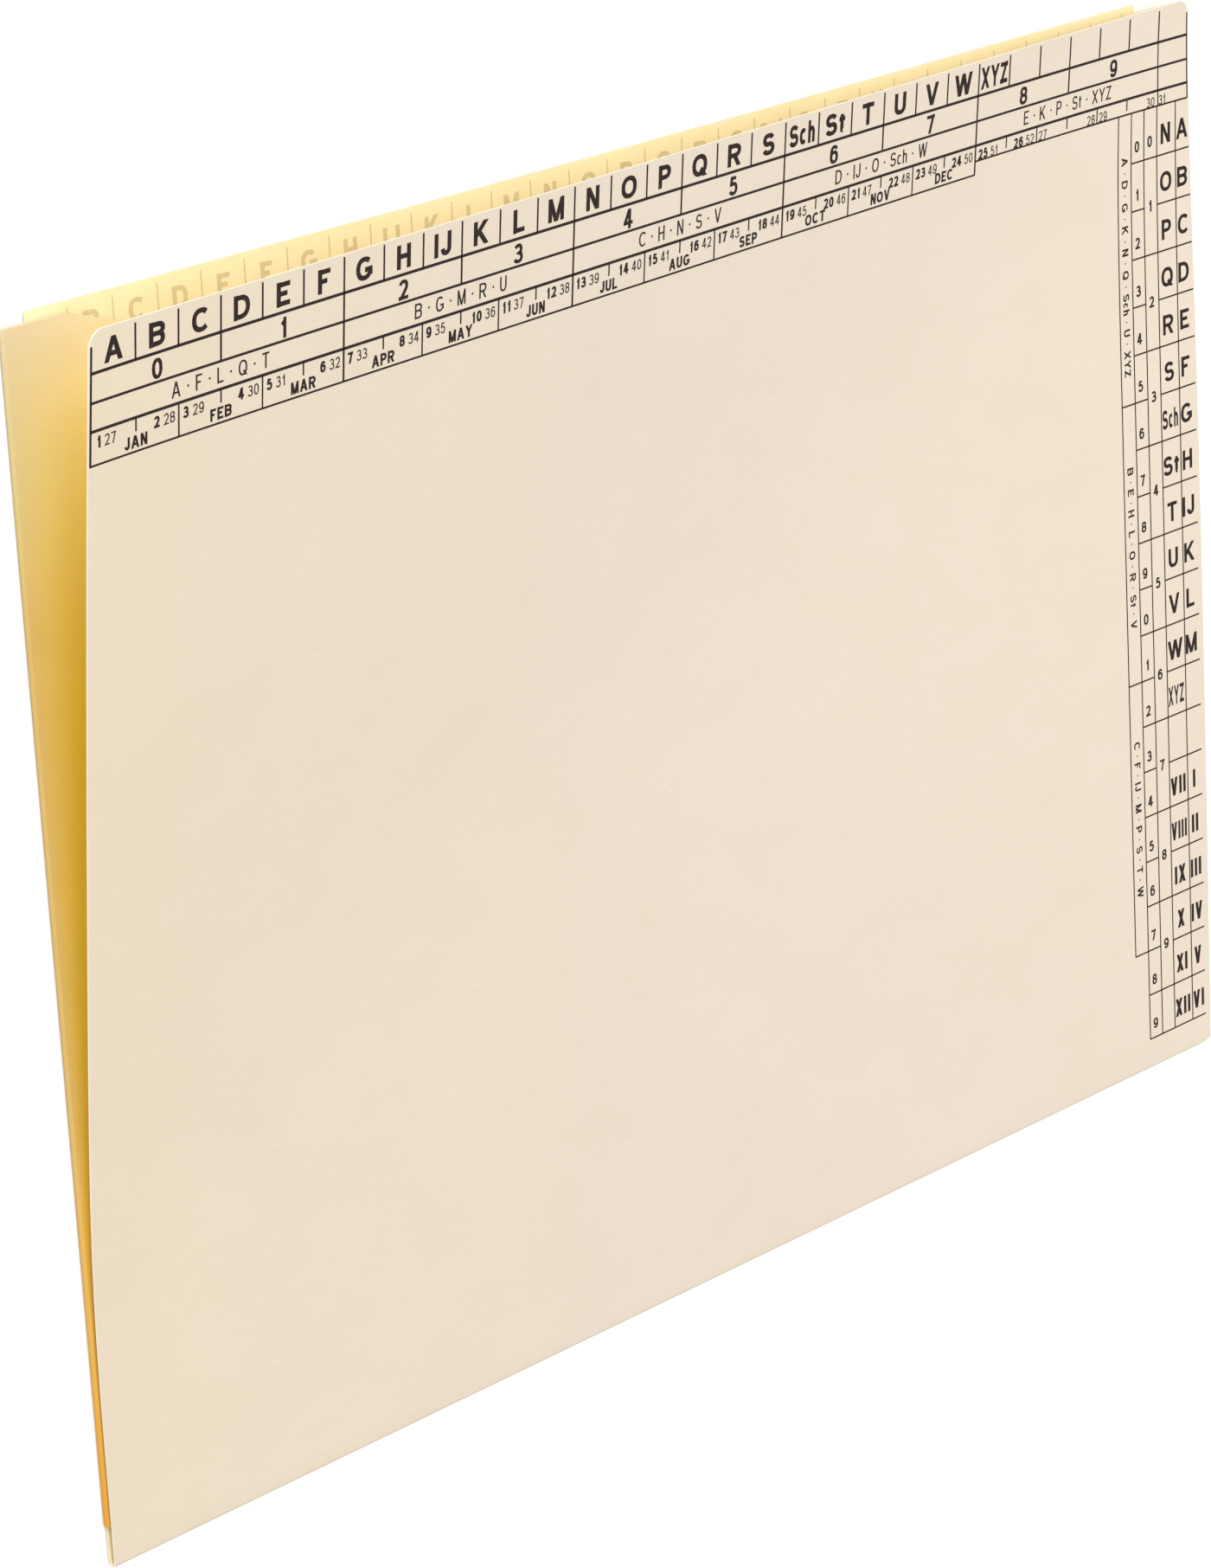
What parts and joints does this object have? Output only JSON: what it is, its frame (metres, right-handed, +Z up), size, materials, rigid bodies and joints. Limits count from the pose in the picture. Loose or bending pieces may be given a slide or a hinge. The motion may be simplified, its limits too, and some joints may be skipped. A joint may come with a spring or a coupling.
{
  "type": "sorting folder",
  "caption": "Folded card sorting folder with a stepped index register, a taller back tab and an inward side flap, lying slightly open.",
  "frame": {"origin": "middle of the footprint, on the surface that the back leaf lies on", "axes": "+X along the bottom fold towards the side register, +Y from the bottom fold to the open top, +Z up off the table"},
  "size_m": [0.3166, 0.2284, 0.0201],
  "materials": {
    "card": "matt",
    "ink": "matt"
  },
  "bodies": {
    "root": {"folder_sheet": "card"}
  },
  "joints": []
}
